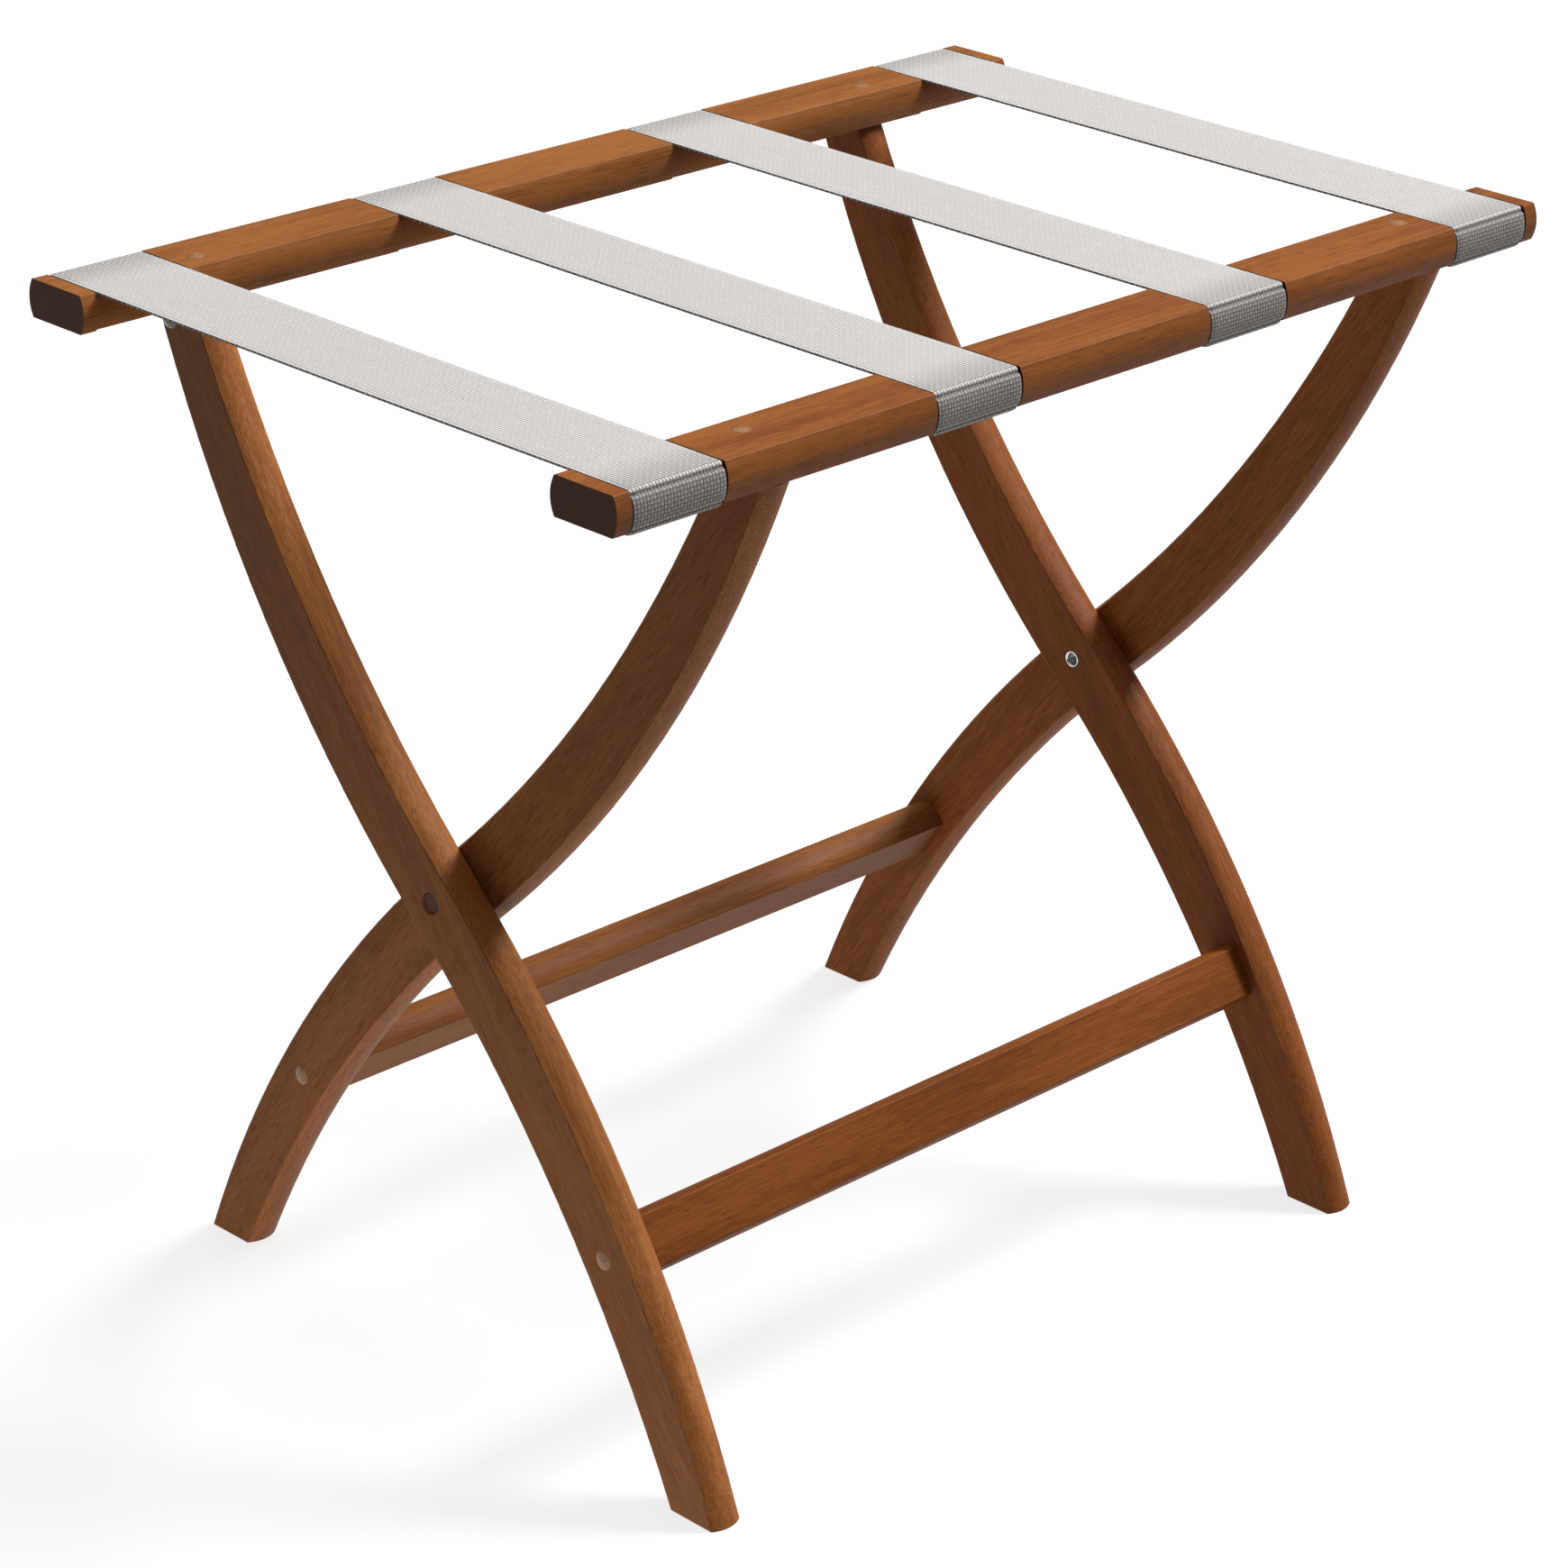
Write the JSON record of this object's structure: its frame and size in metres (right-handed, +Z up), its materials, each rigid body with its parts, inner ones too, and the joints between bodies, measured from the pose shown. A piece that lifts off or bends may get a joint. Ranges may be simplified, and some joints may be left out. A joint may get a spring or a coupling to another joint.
{
  "type": "folding luggage rack",
  "caption": "Folding wooden luggage rack with curved crossed legs, flat rails, stretchers and woven webbing straps.",
  "frame": {"origin": "on the floor, midway between the four feet", "axes": "+Z up, Y along the two top rails, X across them from the far rail to the near rail"},
  "size_m": [0.377, 0.591, 0.5009],
  "materials": {
    "stained_wood": "satin",
    "webbing": "matte",
    "plug_wood": "satin",
    "brown_cap": "matte",
    "bright_steel": "satin",
    "zinc_steel": "satin",
    "nylon": "matte",
    "clear_bumper": "gloss"
  },
  "bodies": {
    "frame_a": {"rail_far": "stained_wood", "leg_front_outer": "stained_wood", "leg_back_inner": "stained_wood", "stretcher_near": "stained_wood", "staples_far": "zinc_steel", "bumper_front": "clear_bumper", "rail_plug_front_outer": "plug_wood", "rail_screw_front_outer": "zinc_steel", "stretcher_plug_front_outer": "plug_wood", "stretcher_screw_front_outer": "zinc_steel", "rail_plug_back_inner": "plug_wood", "rail_screw_back_inner": "zinc_steel", "stretcher_plug_back_inner": "plug_wood", "stretcher_screw_back_inner": "zinc_steel", "pivot_cap_front": "brown_cap", "pivot_bolt_front": "zinc_steel", "pivot_barrel_nut_front": "bright_steel", "pivot_washer_front": "nylon", "strap_1_far_wrap": "webbing", "strap_2_far_wrap": "webbing", "strap_3_far_wrap": "webbing", "strap_4_far_wrap": "webbing"},
    "frame_b": {"rail_near": "stained_wood", "leg_back_outer": "stained_wood", "leg_front_inner": "stained_wood", "stretcher_far": "stained_wood", "staples_near": "zinc_steel", "bumper_back": "clear_bumper", "rail_plug_back_outer": "plug_wood", "rail_screw_back_outer": "zinc_steel", "stretcher_plug_back_outer": "plug_wood", "stretcher_screw_back_outer": "zinc_steel", "rail_plug_front_inner": "plug_wood", "rail_screw_front_inner": "zinc_steel", "stretcher_plug_front_inner": "plug_wood", "stretcher_screw_front_inner": "zinc_steel", "pivot_cap_back": "brown_cap", "pivot_bolt_back": "zinc_steel", "pivot_barrel_nut_back": "bright_steel", "pivot_washer_back": "nylon", "strap_1_near_wrap": "webbing", "strap_2_near_wrap": "webbing", "strap_3_near_wrap": "webbing", "strap_4_near_wrap": "webbing"},
    "straps_middle_far": {"strap_1_far_span": "webbing", "strap_2_far_span": "webbing", "strap_3_far_span": "webbing", "strap_4_far_span": "webbing"},
    "straps_middle_near": {"strap_1_near_span": "webbing", "strap_2_near_span": "webbing", "strap_3_near_span": "webbing", "strap_4_near_span": "webbing"}
  },
  "joints": [
    {"name": "fold", "type": "hinge", "parent": "frame_a", "child": "frame_b", "pos_m": [0, 0, 0.241], "axis": [0, -1, 0], "range_deg": [0, 57]},
    {"name": "strap_sag_far", "type": "hinge", "parent": "frame_a", "child": "straps_middle_far", "pos_m": [0.2067, 0, 0.2935], "axis": [0, -1, 0], "range_deg": [0, 28.5], "deforming": ["strap_1_far_span", "strap_2_far_span", "strap_3_far_span", "strap_4_far_span"]},
    {"name": "strap_sag_near", "type": "hinge", "parent": "frame_b", "child": "straps_middle_near", "pos_m": [-0.2067, 0, 0.2935], "axis": [0, -1, 0], "range_deg": [-28.5, 0], "deforming": ["strap_1_near_span", "strap_2_near_span", "strap_3_near_span", "strap_4_near_span"]}
  ],
  "couplings": [
    {"joint": "strap_sag_far", "follows": "fold", "ratio": 0.5},
    {"joint": "strap_sag_near", "follows": "fold", "ratio": -0.5}
  ]
}
